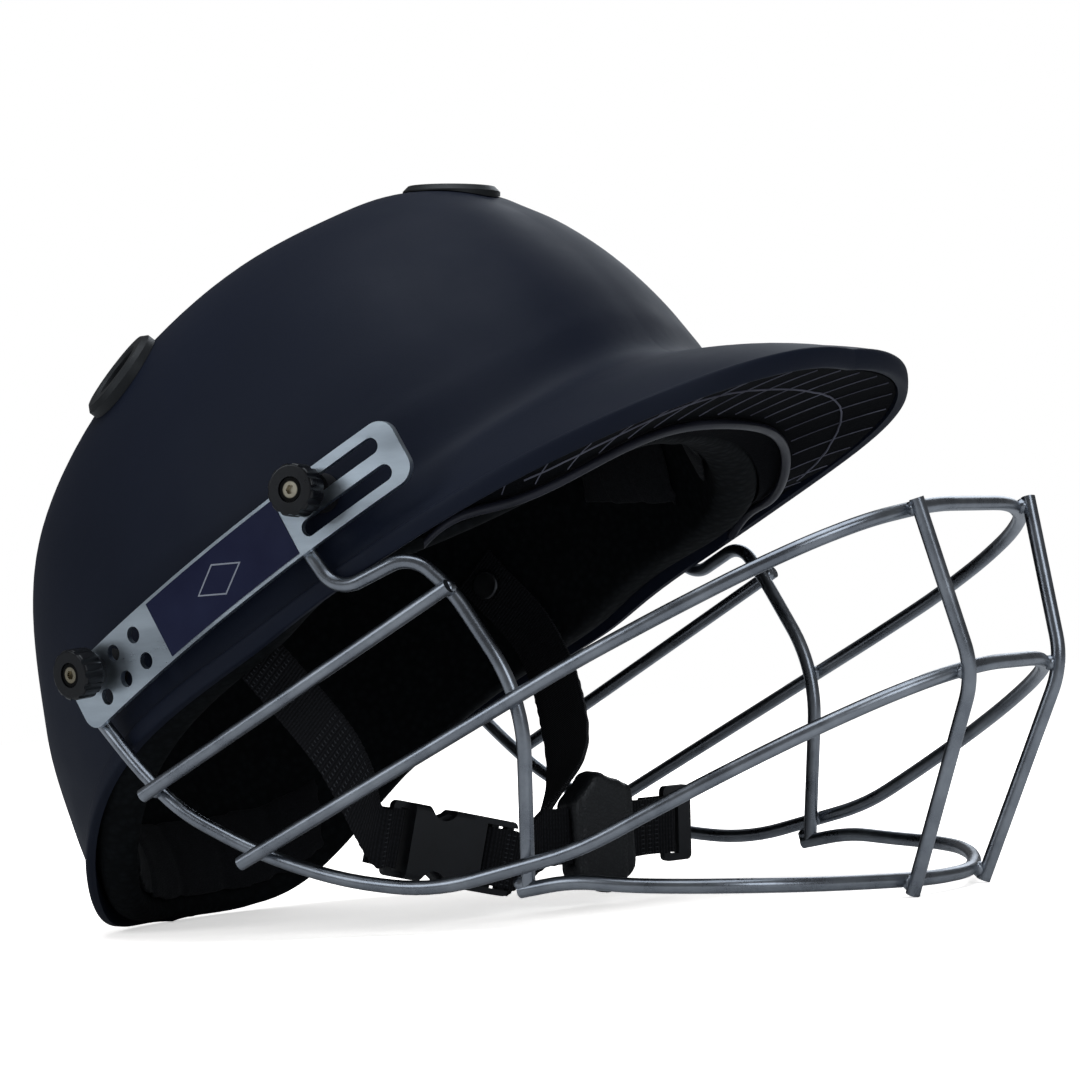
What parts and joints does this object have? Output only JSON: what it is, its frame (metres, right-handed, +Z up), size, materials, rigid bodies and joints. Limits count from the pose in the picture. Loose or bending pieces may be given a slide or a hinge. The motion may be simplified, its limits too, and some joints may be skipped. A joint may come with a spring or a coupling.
{
  "type": "cricket helmet",
  "caption": "Hard shell batting helmet with a peak, foam liner, welded wire face guard on slotted side plates with thumb knobs, and a buckled chin strap with a cup.",
  "frame": {"origin": "centre of the object's footprint, on the surface it stands on", "axes": "+X towards the front of the peak and guard, +Y to the wearer's left, +Z up from the surface"},
  "size_m": [0.376, 0.2542, 0.2526],
  "materials": {
    "shell_cloth": "dark navy, low sheen",
    "liner_foam": "moulded black foam",
    "pad_cloth": "dark knitted cloth",
    "vent_rubber": "satin",
    "trim_plastic": "satin",
    "plate_steel": "satin",
    "label_film": "printed film",
    "knob_plastic": "moulded",
    "fixing_steel": "plated",
    "spacer_rubber": "matt",
    "guard_steel": "satin grey",
    "webbing": "ribbed weave",
    "buckle_plastic": "moulded",
    "cup_leather": "soft sheen"
  },
  "bodies": {
    "helmet": {"crown_pad": "pad_cloth", "crown_vent": "vent_rubber", "forehead_pad": "pad_cloth", "guard_chin_bar": "guard_steel", "guard_front_upright_left": "guard_steel", "guard_front_upright_right": "guard_steel", "guard_middle_bar": "guard_steel", "guard_side_upright_left": "guard_steel", "guard_side_upright_right": "guard_steel", "guard_temple_bar_left": "guard_steel", "guard_temple_bar_right": "guard_steel", "guard_top_bar": "guard_steel", "impact_liner": "liner_foam", "nape_pad": "pad_cloth", "peak_lining": "pad_cloth", "peak_piping": "trim_plastic", "plate_label_right": "label_film", "rear_vent_left": "vent_rubber", "rear_vent_right": "vent_rubber", "shell": "shell_cloth", "side_pad_left": "pad_cloth", "side_pad_right": "pad_cloth", "side_plate_left": "plate_steel", "side_plate_right": "plate_steel", "spacers": "spacer_rubber", "strap_stud_left": "fixing_steel", "strap_stud_right": "fixing_steel", "tee_nuts": "fixing_steel"},
    "chin_strap": {"strap_right": "webbing", "strap_left": "webbing", "buckle_socket": "buckle_plastic", "buckle_plug": "buckle_plastic", "strap_slider": "buckle_plastic"},
    "chin_cup_body": {"chin_cup": "cup_leather"},
    "upper_prong": {"buckle_prong_upper": "buckle_plastic"},
    "lower_prong": {"buckle_prong_lower": "buckle_plastic"},
    "thumb_knob_front_left": {"knob_front_left": "knob_plastic", "knob_screw_front_left": "fixing_steel"},
    "thumb_knob_rear_left": {"knob_rear_left": "knob_plastic", "knob_screw_rear_left": "fixing_steel"},
    "thumb_knob_front_right": {"knob_front_right": "knob_plastic", "knob_screw_front_right": "fixing_steel"},
    "thumb_knob_rear_right": {"knob_rear_right": "knob_plastic", "knob_screw_rear_right": "fixing_steel"}
  },
  "joints": [
    {"name": "knob_front_left_turn", "type": "hinge", "parent": "helmet", "child": "thumb_knob_front_left", "pos_m": [-0.00063, 0.11508, 0.14361], "axis": [0.097, 0.994, 0.0513], "range_deg": [0, 360]},
    {"name": "knob_rear_left_turn", "type": "hinge", "parent": "helmet", "child": "thumb_knob_rear_left", "pos_m": [-0.09666, 0.11223, 0.09284], "axis": [-0.143, 0.9868, -0.0756], "range_deg": [0, 360]},
    {"name": "knob_front_right_turn", "type": "hinge", "parent": "helmet", "child": "thumb_knob_front_right", "pos_m": [-0.00063, -0.11508, 0.14361], "axis": [0.097, -0.994, 0.0513], "range_deg": [0, 360]},
    {"name": "knob_rear_right_turn", "type": "hinge", "parent": "helmet", "child": "thumb_knob_rear_right", "pos_m": [-0.09666, -0.11223, 0.09284], "axis": [-0.143, -0.9868, -0.0756], "range_deg": [0, 360]},
    {"name": "chin_strap_swing", "type": "hinge", "parent": "helmet", "child": "chin_strap", "pos_m": [-0.06918, 0, 0.11449], "axis": [0, -1, 0], "range_deg": [0, 35]},
    {"name": "chin_cup_slide", "type": "slide", "parent": "chin_strap", "child": "chin_cup_body", "axis": [0.3413, 0.94, -0.0035], "range_m": [-0.008, 0.004]},
    {"name": "upper_prong_pinch", "type": "hinge", "parent": "chin_strap", "child": "upper_prong", "pos_m": [0.00527, -0.04805, 0.02923], "axis": [0.9367, -0.3376, -0.0924], "range_deg": [0, 10], "stiffness_Nm_per_rad": 0.3},
    {"name": "lower_prong_pinch", "type": "hinge", "parent": "chin_strap", "child": "lower_prong", "pos_m": [0.00307, -0.05066, 0.01648], "axis": [-0.9367, 0.3376, 0.0924], "range_deg": [0, 10], "stiffness_Nm_per_rad": 0.3}
  ],
  "couplings": [
    {"joint": "lower_prong_pinch", "follows": "upper_prong_pinch", "ratio": 1}
  ]
}
